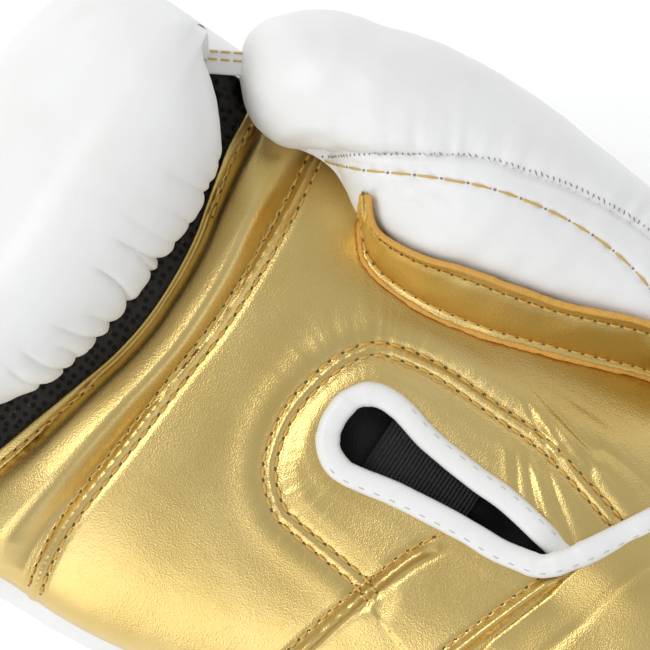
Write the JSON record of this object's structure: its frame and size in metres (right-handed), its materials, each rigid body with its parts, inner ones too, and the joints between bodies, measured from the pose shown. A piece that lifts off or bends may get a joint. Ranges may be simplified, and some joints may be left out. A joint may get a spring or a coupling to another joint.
{
  "type": "boxing glove",
  "caption": "Right-hand padded training glove with a closed thumb, a slit palm side and a hook-and-loop wrist strap.",
  "frame": {"origin": "on the flat patch on the back of the hand that the glove lies on, in the middle of the hand's width", "axes": "+Y along the hand from wrist to knuckles, +X towards the thumb, +Z out of the palm, so the glove lies palm up"},
  "size_m": [0.1719, 0.2789, 0.1097],
  "materials": {
    "white_leather": "smooth, softly shining, fine grain",
    "gold_leather": "metallic foil on leather, creased",
    "soft_foam": "matte open foam",
    "firm_foam": "matte closed-cell foam",
    "dense_foam": "matte moulded foam",
    "black_lining": "satin lining",
    "black_mesh": "spacer mesh with round holes",
    "black_elastic": "ribbed woven elastic",
    "loop_tape": "brushed loop pile",
    "hook_tape": "stiff hooks"
  },
  "bodies": {
    "glove": {"back_shell": "white_leather", "outer_foam": "soft_foam", "middle_foam": "firm_foam", "dense_foam": "dense_foam", "hand_lining": "black_lining", "palm_panel": "gold_leather", "wrist_band_panel": "gold_leather", "palm_heel_pad": "soft_foam", "palm_lining": "black_lining", "slit_binding": "white_leather", "slit_elastic": "black_elastic", "thumb_gusset": "gold_leather", "wrist_piping": "gold_leather", "cuff_piping": "gold_leather", "grip_roll": "dense_foam", "grip_cover": "gold_leather", "crook_mesh": "black_mesh", "fingertip_panel": "black_lining", "thumb_outer_panel": "white_leather", "thumb_welt": "white_leather", "thumb_inner_panel": "white_leather", "thumb_foam": "soft_foam", "thumb_lining": "black_lining", "thumb_tether": "white_leather", "cuff_back_panel": "white_leather", "cuff_flap_little_finger_side": "gold_leather", "cuff_flap_thumb_side": "gold_leather", "cuff_foam": "soft_foam", "cuff_lining": "black_lining", "cuff_edge_binding": "white_leather", "loop_tape": "loop_tape", "strap_anchor": "gold_leather", "strap_anchor_binding": "white_leather"},
    "strap_side": {"strap_side": "gold_leather", "strap_side_binding": "white_leather"},
    "strap_tip": {"strap_tip": "gold_leather", "strap_tip_binding": "white_leather", "hook_tape": "hook_tape"}
  },
  "joints": [
    {"name": "strap_root", "type": "hinge", "parent": "glove", "child": "strap_side", "pos_m": [0.015, -0.087, 0.086], "axis": [0, -1, 0], "range_deg": [0, 130]},
    {"name": "strap_tip", "type": "hinge", "parent": "strap_side", "child": "strap_tip", "pos_m": [0.0416, -0.087, 0.0083], "axis": [0, -1, 0], "range_deg": [0, 110]}
  ]
}
